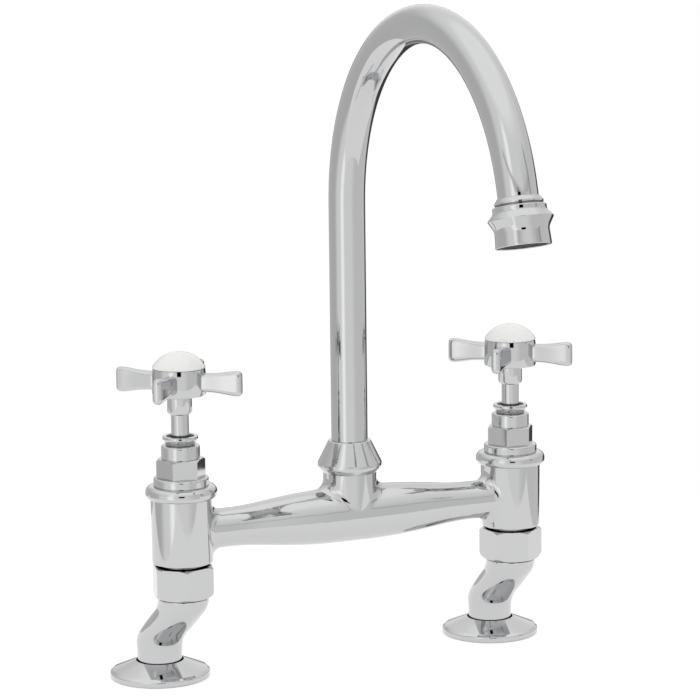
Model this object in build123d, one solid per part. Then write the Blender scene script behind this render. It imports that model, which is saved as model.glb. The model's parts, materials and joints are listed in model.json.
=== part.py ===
from build123d import *
import os
from math import cos, radians, sin, sqrt, tan

os.makedirs("parts", exist_ok=True)

# Bridge kitchen faucet. Millimetres, +Z up, the spout points to -Y.
# The origin is on the deck, midway between the two inlet shanks.

# ------------------------------------------------------------ driving dimensions
# deck side
union_centres = 180.0        # left union axis to right union axis
shank_radius = 10.48         # G 1/2 thread, drawn at its outside diameter
shank_length = 48.0          # threaded tail below the deck
leg_foot_radius = 10.7       # leg where it enters the rose
leg_top_radius = 11.8        # leg under the union nut
leg_ring_radius = 12.15      # small ring on the leg just under the nut
leg_ring_height = 1.4
leg_ring_round = 0.2         # less than the ring stands out from the leg
leg_bore = 6.0               # waterway radius of leg and inlet
crank_throw = 17.6           # sideways step of the cranked leg
crank_directions = {"left": -66.5, "right": -79.5}    # degrees, each foot towards its union axis
crank_tilt = 54.6            # degrees, slope of the leg between its two bends
crank_bend = 13.0            # radius of the two bends
crank_lead = 0.9             # straight stretch between the upper bend and the union nut
union_height = 42.9          # deck to the underside of the union nut
flange_radius = 24.7
flange_rim = 3.9
flange_height = 8.6
rose_mouth_radius = 11.7     # recess round the leg in the top of the rose
rose_mouth_depth = 2.2
gasket_radius = 21.2
gasket_thickness = 2.0

# union
nut_flats = 27.7
nut_height = 15.7
nut_foot_round = 3.8         # rounding of the nut's six corners at its underside
nut_chamfer = 1.6
nut_mouth_radius = 13.2      # recess in the top of the nut, round the barrel's thread
nut_mouth_depth = 3.0
nut_turn = {"left": 17.0, "right": -23.0}    # degrees, where the tightened nuts came to rest
nut_lip = 3.0                # floor of the nut that hooks under the leg's collar
union_thread = 11.46         # thread radius between nut and barrel
leg_neck = 9.7               # leg end inside the nut
union_collar_thickness = 3.0
union_washer_thickness = 1.5

# bridge
barrel_radius = 15.0
barrel_foot_round = 1.2
barrel_start = 17.2          # underside of the union nut to the underside of the barrel
barrel_top_height = 55.0     # underside of the union nut to the bonnet's seat
bead_radius = 17.45
bead_height = 6.3
bead_step = 0.7              # top of the bead above the bonnet's seat
bar_height = 32.2            # underside of the union nut to the bar's axis
bar_middle_radius = 13.7
bar_end_radius = 9.6
bar_bore = 5.5
bar_fillet = 5.0
boss_radius = 13.3
boss_height = 21.7           # bar axis to the top of the boss
boss_fillet = 6.0

# headwork (quarter-turn ceramic valve)
bonnet_thread = 10.48
bonnet_thread_length = 12.0
bonnet_collar_radius = 13.4
bonnet_collar_height = 4.9
bonnet_flats = 21.0
bonnet_hex_height = 9.2
drum_radius = 9.4
drum_height = 6.6
skirt_radius = 9.0
skirt_bore = 7.2
skirt_depth = 27.5           # bonnet seat to the foot of the skirt
web_depth = 8.0              # bonnet seat to the top of the skirt's bore
disc_radius = 6.9
disc_thickness = 3.0
seat_thickness = 1.5
chamber_radius = 10.1
cup_foot_radius = 7.0
cup_rim_radius = 8.7
cup_height = 4.5
cup_foot_depth = 3.0         # threaded foot of the cup in the drum
cup_thread = 5.8
stem_radius = 4.28
stem_reach = 35.9            # bonnet seat to the underside of the handle
stem_seal_height = 6.0       # bonnet seat to the seal groove in the stem
key_width = 3.0              # stem key that turns the upper disc
key_depth = 1.0
key_foot = 1.6
bonnet_turn = {"left": -10.0, "right": -6.0}    # degrees, where the headworks came to rest

# cross handle
hub_radius = 13.05
hub_neck_radius = 6.0
hub_neck_height = 9.3
hub_height = 13.2
arm_reach = 32.6             # stem axis to the end of an arm
arm_root_size = 9.6
arm_tip_width = 5.3
arm_tip_height = 12.5
arm_tip_round = 2.2
arm_count = 4
arm_angle = -41.0            # degrees, first arm
index_radius = 12.85
index_rise = 7.9
spline_teeth = 12
spline_depth = 0.7
spline_length = 12.0
spline_lead = 1.0            # plain mouth of the socket below the spline
screw_radius = 2.0
screw_length = 9.0
screw_head = 2.0
plug_radius = 6.9            # pocket for the screw's head in the hub
index_depth = 3.0            # how deep the dome sits in the hub

# spout
tube_radius = 9.0
tube_wall = 1.1
arch_radius = 91.6
arch_sweep = 166.0           # degrees
spout_rise = 188.2           # underside of the union nut to the start of the arch
spout_drop = 1.5             # straight stretch between the arch and the nozzle
cone_radius = 15.9           # widest ring of the conical nut
cone_foot_radius = 13.5
cone_widest = 4.0            # height of the widest ring above the underside
cone_height = 16.0
spigot_radius = 8.0
spigot_depth = 17.0
spout_collar_radius = 10.9
spout_collar_height = 2.0
slip_washer = 0.6
boss_neck_height = 5.0
boss_neck_radius = 12.0

# nozzle
nozzle_collar = 2.9
nozzle_groove = 0.5
nozzle_length = 18.2
nozzle_collar_radius = 10.8
shell_band_radius = 11.9     # band between the groove and the ridge
shell_band = 3.0
ridge_radius = 14.6
ridge_drop = 6.0
bell_waist_radius = 12.0
bell_waist_drop = 10.5
bell_radius = 12.4
bell_wall = 1.1
aerator_thickness = 6.0
aerator_recess = 0.8

# seals
body_seal_radius = 12.2
body_seal_height = 1.6
seal_depth = 1.4
seal_width = 2.2

# fits
running = 0.05               # radial clearance of a shaft that turns in its bore
loose = 0.3                  # gap between pieces that must not touch
snug = 0.02                  # radial clearance of a seated piece

# ------------------------------------------------------------ worked-out places
barrel_bottom = union_height + barrel_start
barrel_top = union_height + barrel_top_height
bead_bottom = barrel_top - bead_height + bead_step
bar_axis = union_height + bar_height
boss_top = bar_axis + boss_height
chamber_floor = barrel_top - skirt_depth - seat_thickness
handle_base = barrel_top + stem_reach
arm_height = handle_base + hub_neck_height + hub_height / 2
arch_start = union_height + spout_rise
lower_disc_bottom = barrel_top - skirt_depth
slip_top = barrel_top - web_depth
seal_low = barrel_top + stem_seal_height
spline_bottom = handle_base + spline_lead
stem_top = spline_bottom + spline_length
screw_seat = stem_top + 1.6
screw_tip = stem_top - screw_length + 0.6
sides = {"left": -1, "right": 1}
leans = {}
for name, direction in crank_directions.items():
    leans[name] = Vector(crank_throw * cos(radians(direction)), crank_throw * sin(radians(direction)))
lean_x = (leans["left"].X + leans["right"].X) / 2
lean_y = (leans["left"].Y + leans["right"].Y) / 2


# ------------------------------------------------------------ helpers
def rounded_outline(corners):
    """Closed outline through (x, y) or (x, y, round) corners, with an arc at each rounded corner."""
    count = len(corners)
    entries = []
    for number, corner in enumerate(corners):
        here = Vector(corner[0], corner[1])
        before = Vector(*corners[number - 1][:2]) - here
        after = Vector(*corners[(number + 1) % count][:2]) - here
        radius = corner[2] if len(corner) == 3 else 0.0
        half_angle = radians(before.get_angle(after)) / 2
        reach = radius / tan(half_angle)
        for neighbour, edge in ((corners[number - 1], before), (corners[(number + 1) % count], after)):
            shared = len(neighbour) == 3 and neighbour[2] > 0
            reach = min(reach, (0.49 if shared else 0.98) * edge.length)
        if reach < 0.001:
            entries.append((here, here, here))
            continue
        way_in = before.normalized()
        way_out = after.normalized()
        bisector = (way_in + way_out).normalized()
        true_radius = reach * tan(half_angle)
        middle = here + bisector * (true_radius / sin(half_angle) - true_radius)
        entries.append((here + way_in * reach, middle, here + way_out * reach))
    with BuildLine() as outline:
        for number, (start, middle, finish) in enumerate(entries):
            if start != finish:
                ThreePointArc(start, middle, finish)
            next_start = entries[(number + 1) % count][0]
            if (next_start - finish).length > 0.0001:
                Line(finish, next_start)
    return make_face(outline.line)


def turned(*corners):
    """Solid turned about Z from (radius, height) or (radius, height, round) corners."""
    return revolve(Plane.XZ * rounded_outline(corners), Axis.Z)


def rod(radius, bottom, top):
    """Plain cylinder on the Z axis."""
    return Pos(0, 0, bottom) * Cylinder(radius, top - bottom, align=(Align.CENTER, Align.CENTER, Align.MIN))


def ring(outer, inner, bottom, top, round_edge=0.0):
    """Washer or ring on the Z axis."""
    return turned(
        (inner, bottom, round_edge), (outer, bottom, round_edge), (outer, top, round_edge), (inner, top, round_edge)
    )


def hexagon(flats, bottom, top, round_low, chamfer_high, turn):
    """Hexagonal prism with its corners turned off, one corner pointing along turn degrees."""
    corner = flats / sqrt(3)
    prism = Pos(0, 0, bottom) * Rot(0, 0, turn) * extrude(RegularPolygon(corner, 6), top - bottom)
    slope = 0.6
    envelope = turned(
        (0, bottom),
        (corner + 0.01, bottom, round_low),
        (corner + 0.01, top - chamfer_high * slope - 0.01),
        (corner - chamfer_high, top),
        (0, top),
    )
    return prism & envelope


def toothed(tip, root, teeth):
    """Outline of a splined shaft end."""
    points = []
    for step in range(2 * teeth):
        angle = radians(180 / teeth * step)
        radius = tip if step % 2 == 0 else root
        points.append((radius * cos(angle), radius * sin(angle)))
    return make_face(Polyline(*points, close=True))


def at_side(side):
    """Place of a union, and of the barrel and valve above it."""
    return Pos(side * union_centres / 2 + lean_x, lean_y, 0)


centre = Pos(lean_x, lean_y, 0)
pieces = {}


# ------------------------------------------------------------ bridge body
def half_bar():
    """One half of the tapered bar, turned about X."""
    half = union_centres / 2
    with BuildLine() as edge:
        start = Line((0, 0), (0, bar_middle_radius))
        curve = Spline(
            start @ 1,
            (half * 0.22, bar_middle_radius - 0.25),
            (half * 0.48, (bar_middle_radius + bar_end_radius) / 2 - 0.2),
            (half * 0.74, bar_end_radius),
            tangents=((1, 0), (1, 0)),
        )
        end = Line(curve @ 1, (half, bar_end_radius))
        drop = Line(end @ 1, (half, 0))
        Line(drop @ 1, start @ 0)
    return revolve(Plane.XZ * make_face(edge.line), Axis.X)


def barrel():
    """Outside of one barrel, from the union thread to the bead under the bonnet."""
    bead_half = bead_height / 2
    neck_bottom = union_height + nut_lip + union_collar_thickness + union_washer_thickness
    body = turned(
        (0, neck_bottom),
        (union_thread, neck_bottom),
        (union_thread, barrel_bottom),
        (barrel_radius, barrel_bottom, barrel_foot_round),
        (barrel_radius, bead_bottom),
        (bead_radius, bead_bottom, bead_half),
        (bead_radius, bead_bottom + bead_height, bead_half),
        (bonnet_collar_radius + 0.1, bead_bottom + bead_height),
        (bonnet_collar_radius + 0.1, barrel_top),
        (0, barrel_top),
    )
    return body


def make_bridge_body():
    """Bar, spout boss and two barrels in one casting, bored through for the water."""
    half = union_centres / 2
    bar = half_bar()
    bar = bar + mirror(bar, Plane.YZ)
    boss = rod(boss_radius, -bar_middle_radius * 0.3, boss_height)
    body = Pos(0, 0, bar_axis) * (bar + boss)
    boss_seam = [
        edge for edge in body.edges()
        if edge.center().Z > bar_axis + 1 and abs(edge.center().X) < boss_radius and edge.geom_type != GeomType.CIRCLE
    ]
    body = fillet(boss_seam, boss_fillet)
    body = body + rod(boss_neck_radius, boss_top - 1, boss_top + boss_neck_height)
    # the bar is blended into a long plain cylinder, which is then cut to the barrel's length
    reach = 2 * bar_middle_radius
    for side in sides.values():
        body = body + Pos(side * half, 0, 0) * rod(barrel_radius, bar_axis - reach, bar_axis + reach)
    bar_seams = [
        edge for edge in body.edges()
        if edge.geom_type == GeomType.BSPLINE and abs(edge.bounding_box().center().X) > half - barrel_radius - 2
        and edge.bounding_box().size.Z > 1.9 * bar_end_radius
    ]
    body = fillet(bar_seams, bar_fillet)
    below = rod(barrel_radius + bar_fillet, bar_axis - reach - 1, barrel_bottom + barrel_foot_round)
    above = rod(barrel_radius + 1, bead_bottom, bar_axis + reach + 1)
    for side in sides.values():
        spot = Pos(side * half, 0, 0)
        body = body - spot * below - spot * above + spot * barrel()

    # waterways: one along the bar, one up the boss and one up each barrel
    body = body - Pos(0, 0, bar_axis) * Rot(0, 90, 0) * Cylinder(bar_bore, 2 * half)
    body = body - rod(bar_bore, bar_axis, boss_top + boss_neck_height)
    spigot_seat = boss_top + boss_neck_height
    body = body - rod(spigot_radius + running, spigot_seat - spigot_depth, spigot_seat)
    cavity = turned(
        (0, union_height),
        (leg_bore, union_height),
        (leg_bore, chamber_floor - 2.0),
        (skirt_bore - 2.7, chamber_floor),
        (chamber_radius, chamber_floor),
        (chamber_radius, barrel_top - bonnet_thread_length - 1.0),
        (bonnet_thread + snug, barrel_top - bonnet_thread_length - 1.0),
        (bonnet_thread + snug, barrel_top - body_seal_height),
        (body_seal_radius + snug, barrel_top - body_seal_height),
        (body_seal_radius + snug, barrel_top + 1),
        (0, barrel_top + 1),
    )
    for side in sides.values():
        body = body - Pos(side * half, 0, 0) * cavity
    return body


pieces["bridge_body"] = centre * make_bridge_body()


# ------------------------------------------------------------ spout boss, cone and spout foot
def make_spout_pieces():
    """Conical nut, washers and the spigot that turns in the boss."""
    seat = boss_top + boss_neck_height
    washer_top = seat + slip_washer
    collar_top = washer_top + spout_collar_height
    shoulder = collar_top + slip_washer
    cone_top = boss_top + cone_height
    widest = boss_top + cone_widest

    cone = turned(
        (boss_neck_radius + snug, boss_top),
        (cone_foot_radius, boss_top, 0.4),
        (cone_radius, widest - 1.2, 2.2),
        (cone_radius, widest + 0.8, 1.0),
        (tube_radius + 1.4, cone_top, 0.8),
        (tube_radius + running, cone_top),
        (tube_radius + running, shoulder),
        (boss_neck_radius + snug, shoulder),
    )
    pieces["spout_cone_nut"] = centre * cone
    pieces["spout_lower_washer"] = centre * ring(spout_collar_radius, spigot_radius + snug, seat, washer_top)
    pieces["spout_upper_washer"] = centre * ring(spout_collar_radius, tube_radius + snug, collar_top, shoulder)

    bottom = seat - spigot_depth + 1.0
    insert_top = collar_top + 9.0
    spigot = turned(
        (bar_bore, bottom, 0.4),
        (spigot_radius, bottom, 0.8),
        (spigot_radius, washer_top),
        (spout_collar_radius, washer_top, 0.3),
        (spout_collar_radius, collar_top, 0.3),
        (tube_radius - tube_wall, collar_top),
        (tube_radius - tube_wall, insert_top, 0.4),
        (bar_bore, insert_top, 0.4),
    )
    groove_places = [bottom + 3.0, bottom + 8.5]
    for number, place in enumerate(groove_places):
        groove = ring(spigot_radius + 1, spigot_radius - seal_depth, place, place + seal_width)
        spigot = spigot - groove
        seal_outer = spigot_radius + running / 2
        seal = ring(seal_outer, spigot_radius - seal_depth, place, place + seal_width, seal_depth * 0.4)
        pieces["spout_seal_" + ["lower", "upper"][number]] = centre * seal
    pieces["spout_spigot"] = centre * spigot

    with BuildLine() as path:
        rise = Line((0, collar_top), (0, arch_start))
        arch = JernArc(rise @ 1, rise % 1, arch_radius, -arch_sweep)
        end = Line(arch @ 1, arch @ 1 + spout_drop * (arch % 1))
    route = Plane(origin=(0, 0, 0), x_dir=(0, -1, 0), z_dir=(-1, 0, 0)) * path.line
    mouth = Plane(origin=(0, 0, collar_top), z_dir=(0, 0, 1))
    outside = sweep(mouth * Circle(tube_radius), path=route)
    inside = sweep(mouth * Circle(tube_radius - tube_wall), path=route)
    pieces["spout_tube"] = centre * (outside - inside)
    return route


spout_route = make_spout_pieces()


# ------------------------------------------------------------ nozzle
def make_nozzle():
    """Turned outlet: collar on the tube, ridged shell, aerator and its seal, drawn with the tube end up."""
    collar_bottom = -nozzle_collar
    shell_top = collar_bottom - nozzle_groove
    shell_bottom = shell_top - nozzle_length
    spigot_foot = shell_top - 5.0
    ridge = shell_top - ridge_drop
    inner = bell_radius - bell_wall
    spigot_r = tube_radius + 0.9
    collar = turned(
        (tube_radius - tube_wall - 1.2, spigot_foot, 0.3),
        (spigot_r - 1.4, spigot_foot, 0.3),
        (spigot_r - 1.4, shell_top),
        (spigot_r, shell_top),
        (spigot_r, collar_bottom),
        (nozzle_collar_radius, collar_bottom, 0.3),
        (nozzle_collar_radius, collar_bottom + 0.9, 0.4),
        (tube_radius + 0.35, 0, 1.0),
        (tube_radius + snug, 0),
        (tube_radius + snug, collar_bottom + 0.8),
        (tube_radius - tube_wall - 1.2, collar_bottom + 0.8),
    )
    shell = turned(
        (spigot_r - 1.4 + snug, shell_top),
        (nozzle_collar_radius, shell_top, 0.2),
        (shell_band_radius, shell_top - 0.7, 0.5),
        (shell_band_radius, shell_top - shell_band, 1.6),
        (ridge_radius, ridge, 0.5),
        (bell_waist_radius, shell_top - bell_waist_drop, 4.5),
        (bell_radius, shell_bottom, 0.4),
        (inner, shell_bottom, 0.3),
        (inner, shell_bottom + aerator_recess + aerator_thickness + seal_width),
        (spigot_r - 1.4 + snug, shell_bottom + aerator_recess + aerator_thickness + seal_width),
    )
    aerator_bottom = shell_bottom + aerator_recess
    aerator_top = aerator_bottom + aerator_thickness
    cage = rod(inner - snug, aerator_bottom, aerator_top)
    cage = cage - rod(inner - 1.3, aerator_bottom + 1.2, aerator_top + 1)
    slot = Pos(0, 0, aerator_bottom) * Box(2 * inner - 5.0, 1.1, 4)
    for step in range(5):
        cage = cage - Pos(0, (step - 2) * 2.6, 0) * (slot & Pos(0, -(step - 2) * 2.6, 0) * rod(inner - 2, -40, 0))
    seal = ring(inner - snug, inner - 3.0, aerator_top, aerator_top + seal_width, 0.4)
    return {"nozzle_collar": collar, "nozzle_shell": shell, "aerator": cage, "aerator_seal": seal}


spout_end = Plane(origin=spout_route @ 1, x_dir=(1, 0, 0), z_dir=(spout_route % 1) * -1)
for name, solid in make_nozzle().items():
    pieces[name] = centre * spout_end.location * solid


# ------------------------------------------------------------ legs, unions and roses
def make_leg(direction):
    """Cranked leg with its threaded shank; the foot stands on the origin and leans along direction."""
    tilt = radians(crank_tilt)
    slope = (crank_throw - 2 * crank_bend * (1 - cos(tilt))) / sin(tilt)
    rise = 2 * crank_bend * sin(tilt) + slope * cos(tilt)
    bend_start = union_height - loose - crank_lead - rise
    with BuildLine() as path:
        foot = Line((0, flange_height), (0, bend_start))
        lower = JernArc(foot @ 1, foot % 1, crank_bend, -crank_tilt)
        middle = Line(lower @ 1, lower @ 1 + slope * (lower % 1))
        upper = JernArc(middle @ 1, middle % 1, crank_bend, crank_tilt)
        Line(upper @ 1, (crank_throw, union_height - loose))
    side = Plane(origin=(0, 0, 0), x_dir=(1, 0, 0), z_dir=(0, -1, 0))
    route = side * path.line
    start = Pos(0, 0, flange_height) * Circle(leg_foot_radius)
    finish = Pos(crank_throw, 0, union_height - loose) * Circle(leg_top_radius)
    outside = sweep([start, finish], path=route, multisection=True)
    head_top = union_height + nut_lip + union_collar_thickness
    neck = Pos(crank_throw, 0, 0) * rod(leg_neck, union_height - loose, head_top)
    shank = turned(
        (0, -shank_length),
        (shank_radius, -shank_length, 1.0),
        (shank_radius, 0),
        (0, 0),
    )
    foot_post = rod(leg_foot_radius, 0, flange_height)
    bore = sweep(Pos(0, 0, flange_height) * Circle(leg_bore), path=route)
    bore = bore + Pos(crank_throw, 0, 0) * rod(leg_bore, union_height - loose - 0.5, head_top)
    bore = bore + rod(leg_bore, -shank_length, flange_height)
    ring_top = union_height - loose
    top_ring = turned(
        (0, ring_top - leg_ring_height),
        (leg_ring_radius, ring_top - leg_ring_height, leg_ring_round),
        (leg_ring_radius, ring_top, leg_ring_round),
        (0, ring_top),
    )
    leg = outside + foot_post + neck + Pos(crank_throw, 0, 0) * top_ring + shank - bore
    return Rot(0, 0, direction) * leg


def make_rose():
    """Domed deck flange with the recess for its gasket."""
    return turned(
        (leg_foot_radius + running, flange_height - rose_mouth_depth),
        (rose_mouth_radius, flange_height - rose_mouth_depth),
        (rose_mouth_radius, flange_height, 0.35),
        (flange_radius - 1.5, flange_rim, 2.0),
        (flange_radius, flange_rim - 1.2, 0.7),
        (flange_radius, 0, 0.4),
        (gasket_radius + loose, 0),
        (gasket_radius + loose, gasket_thickness),
        (leg_foot_radius + running, gasket_thickness),
    )


def make_union_nut(turn):
    """Hexagonal nut that draws the leg up against the barrel."""
    nut_top = union_height + nut_height
    blank = hexagon(nut_flats, union_height, nut_top, nut_foot_round, nut_chamfer, turn)
    hollow = turned(
        (0, union_height - 1),
        (leg_neck + running, union_height - 1),
        (leg_neck + running, union_height + nut_lip),
        (union_thread + snug, union_height + nut_lip),
        (union_thread + snug, nut_top - nut_mouth_depth),
        (nut_mouth_radius, nut_top - nut_mouth_depth),
        (nut_mouth_radius, nut_top + 1),
        (0, nut_top + 1),
    )
    return blank - hollow


rose = make_rose()
gasket = ring(gasket_radius, leg_foot_radius + loose, 0, gasket_thickness)
collar_bottom = union_height + nut_lip
collar_top = collar_bottom + union_collar_thickness
union_collar = ring(union_thread - loose, leg_neck + snug, collar_bottom, collar_top, 0.3)
union_washer = ring(union_thread - loose, leg_bore + 1.0, collar_top, collar_top + union_washer_thickness)
for name, sign in sides.items():
    deck_place = at_side(sign) * Pos(-leans[name].X, -leans[name].Y, 0)
    pieces[name + "_leg"] = deck_place * make_leg(crank_directions[name])
    pieces[name + "_deck_flange"] = deck_place * rose
    pieces[name + "_flange_gasket"] = deck_place * gasket
    pieces[name + "_union_collar"] = at_side(sign) * union_collar
    pieces[name + "_union_washer"] = at_side(sign) * union_washer
    pieces[name + "_union_nut"] = at_side(sign) * make_union_nut(nut_turn[name])


# ------------------------------------------------------------ headwork
def make_bonnet(turn):
    """Headwork body: skirt, thread, collar, hexagon and drum, bored for the stem."""
    hex_bottom = barrel_top + bonnet_collar_height
    hex_top = hex_bottom + bonnet_hex_height
    drum_top = hex_top + drum_height
    blank = turned(
        (0, barrel_top - skirt_depth),
        (skirt_radius, barrel_top - skirt_depth, 0.4),
        (skirt_radius, barrel_top - bonnet_thread_length),
        (bonnet_thread, barrel_top - bonnet_thread_length, 0.5),
        (bonnet_thread, barrel_top),
        (bonnet_collar_radius, barrel_top, 0.4),
        (bonnet_collar_radius, hex_bottom, 1.2),
        (drum_radius - 0.5, hex_bottom),
        (drum_radius - 0.5, hex_top - 0.5),
        (drum_radius, hex_top - 0.5),
        (drum_radius, drum_top, 1.2),
        (0, drum_top),
    )
    blank = blank + hexagon(bonnet_flats, hex_bottom, hex_top, 0.0, 1.6, turn)
    hollow = turned(
        (0, barrel_top - skirt_depth - 1),
        (skirt_bore, barrel_top - skirt_depth - 1),
        (skirt_bore, barrel_top - web_depth),
        (stem_radius + running, barrel_top - web_depth),
        (stem_radius + running, drum_top - cup_foot_depth),
        (cup_thread, drum_top - cup_foot_depth),
        (cup_thread, drum_top + 1),
        (0, drum_top + 1),
    )
    window_top = barrel_top - bonnet_thread_length - 1.5
    window_bottom = barrel_top - skirt_depth + 2 * disc_thickness
    window = Pos(0, 0, (window_top + window_bottom) / 2) * Box(3 * skirt_radius, 7.0, window_top - window_bottom)
    return blank - hollow - window


def make_gland_cup():
    """Flared cup that closes the headwork round the stem."""
    drum_top = barrel_top + bonnet_collar_height + bonnet_hex_height + drum_height
    rim = drum_top + cup_height
    return turned(
        (stem_radius + running, drum_top - cup_foot_depth),
        (cup_thread - snug, drum_top - cup_foot_depth),
        (cup_thread - snug, drum_top),
        (cup_foot_radius, drum_top),
        (cup_foot_radius + 0.3, drum_top + 1.0, 0.5),
        (cup_rim_radius, rim - 1.3, 0.6),
        (cup_rim_radius - 0.2, rim, 0.5),
        (cup_rim_radius - 1.9, rim, 0.3),
        (stem_radius + 1.4, drum_top + 0.8),
        (stem_radius + running, drum_top + 0.8),
    )


def ported_disc(bottom, slot):
    """Ceramic disc with two opposite quarter ports, and a driving slot where slot is set."""
    disc = rod(disc_radius, bottom, bottom + disc_thickness)
    sector = rod(disc_radius - 1.4, bottom - 1, bottom + disc_thickness + 1) - rod(1.6, bottom - 2, bottom + 9)
    wedge = Box(disc_radius, disc_radius, 30, align=(Align.MIN, Align.MIN, Align.CENTER))
    for turn in (0, 180):
        port = sector & (Pos(0, 0, bottom) * Rot(0, 0, turn + 5) * Pos(0.6, 0.6, 0) * wedge)
        disc = disc - port
    if slot:
        key = Pos(0, 0, bottom + disc_thickness) * Rot(0, 0, -45) * Box(3 * disc_radius, key_width, 2 * key_depth)
        disc = disc - key
    return disc


def make_spindle():
    """Stem with its driving foot, shoulder, seal groove, spline and screw hole."""
    foot_bottom = lower_disc_bottom + 2 * disc_thickness
    shoulder_top = slip_top - slip_washer
    stem = turned(
        (0, foot_bottom),
        (disc_radius, foot_bottom),
        (disc_radius, foot_bottom + key_foot, 0.3),
        (stem_radius - 0.4, foot_bottom + key_foot),
        (stem_radius - 0.4, shoulder_top - 1.4),
        (disc_radius - 0.3, shoulder_top - 1.4, 0.3),
        (disc_radius - 0.3, shoulder_top),
        (stem_radius, shoulder_top),
        (stem_radius, seal_low),
        (stem_radius - seal_depth, seal_low),
        (stem_radius - seal_depth, seal_low + seal_width),
        (stem_radius, seal_low + seal_width),
        (stem_radius, spline_bottom),
        (0, spline_bottom),
    )
    port_radius = disc_radius - 1.4
    sector = rod(disc_radius + 1, foot_bottom - 1, foot_bottom + key_foot)
    sector = sector - rod(stem_radius - 0.5, foot_bottom - 2, foot_bottom + 9)
    wedge = Box(disc_radius, disc_radius, 30, align=(Align.MIN, Align.MIN, Align.CENTER))
    for turn in (90, 270):
        stem = stem - (sector & (Pos(0, 0, foot_bottom) * Rot(0, 0, turn) * Pos(1.0, 1.0, 0) * wedge))
    key = Pos(0, 0, foot_bottom) * Rot(0, 0, 45) * Box(2 * port_radius, key_width - 2 * snug, 2 * key_depth - 0.1)
    key = key & rod(disc_radius, foot_bottom - key_depth - 1, foot_bottom)
    teeth = toothed(stem_radius, stem_radius - spline_depth, spline_teeth)
    spline = Pos(0, 0, spline_bottom) * extrude(teeth, spline_length)
    hole = rod(screw_radius + snug, stem_top - screw_length, stem_top + 1)
    return stem + key + spline - hole


def make_handle():
    """Cross handle: neck, hub and four paddles, with the spline socket and the recess for the index."""
    hub_bottom = handle_base + hub_neck_height
    hub_top = hub_bottom + hub_height
    socket_top = stem_top + 0.2
    handle = turned(
        (0, handle_base),
        (hub_neck_radius, handle_base, 1.3),
        (hub_neck_radius, hub_bottom + 0.2, 0.8),
        (hub_radius - 4.5, hub_bottom + 0.6, 1.0),
        (hub_radius - 0.4, hub_bottom + 3.4, 2.6),
        (hub_radius, hub_top - 0.6, 0.3),
        (hub_radius - 0.4, hub_top, 0.2),
        (0, hub_top),
    )
    stations = [
        (hub_radius - 3.5, arm_root_size, arm_root_size),
        (hub_radius + 1.0, arm_root_size - 1.2, arm_root_size - 0.2),
        (arm_reach * 0.62, arm_tip_width + 1.6, arm_root_size + 0.4),
        (arm_reach * 0.82, arm_tip_width + 0.3, arm_tip_height - 0.9),
        (arm_reach - arm_tip_round, arm_tip_width, arm_tip_height),
    ]
    outlines = []
    for reach, width, height in stations:
        face = Plane(origin=(reach, 0, arm_height), x_dir=(0, 1, 0), z_dir=(1, 0, 0))
        outlines.append(face * Ellipse(width / 2, height / 2))
    arm = loft(outlines)
    tip = scale(Sphere(1), by=(arm_tip_round, arm_tip_width / 2, arm_tip_height / 2))
    arm = arm + Pos(arm_reach - arm_tip_round, 0, arm_height) * tip
    for number in range(arm_count):
        handle = handle + Rot(0, 0, arm_angle + number * 360 / arm_count) * arm
    socket = Pos(0, 0, handle_base) * extrude(
        toothed(stem_radius + snug, stem_radius - spline_depth + snug, spline_teeth), socket_top - handle_base
    )
    mouth = rod(stem_radius + snug, handle_base - 1, spline_bottom)
    screw_way = turned(
        (0, socket_top - 0.5),
        (screw_radius + loose, socket_top - 0.5),
        (screw_radius + loose, screw_seat),
        (plug_radius, screw_seat),
        (plug_radius, hub_top - index_depth),
        (index_radius - 1.2, hub_top - index_depth),
        (index_radius - 1.2, hub_top + 1),
        (0, hub_top + 1),
    )
    return handle - socket - mouth - screw_way


def make_handle_screw():
    """Pan-head screw that pulls the handle down on the spline."""
    screw = turned(
        (0, screw_seat + screw_head, 0.0),
        (screw_radius * 1.9, screw_seat + screw_head, 0.8),
        (screw_radius * 1.9, screw_seat),
        (screw_radius, screw_seat),
        (screw_radius, screw_tip, 0.4),
        (0, screw_tip),
    )
    drive = Pos(0, 0, screw_seat + screw_head) * (Box(3.6, 0.9, 2.2) + Box(0.9, 3.6, 2.2))
    return screw - drive


def make_index():
    """White ceramic dome seated in the hub."""
    hub_top = handle_base + hub_neck_height + hub_height
    rim = hub_top + 0.15
    sphere = (index_radius ** 2 + (index_rise - 0.6) ** 2) / (2 * (index_rise - 0.6))
    cap = Pos(0, 0, rim + index_rise - sphere) * Sphere(sphere)
    cap = cap & rod(index_radius, rim + 0.6, rim + index_rise + 1)
    base = turned(
        (0, hub_top - index_depth + 0.2),
        (index_radius - 1.2 - snug, hub_top - index_depth + 0.2, 0.3),
        (index_radius - 1.2 - snug, rim),
        (index_radius, rim, 0.2),
        (index_radius, rim + 0.6),
        (0, rim + 0.6),
    )
    return base + cap


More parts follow.
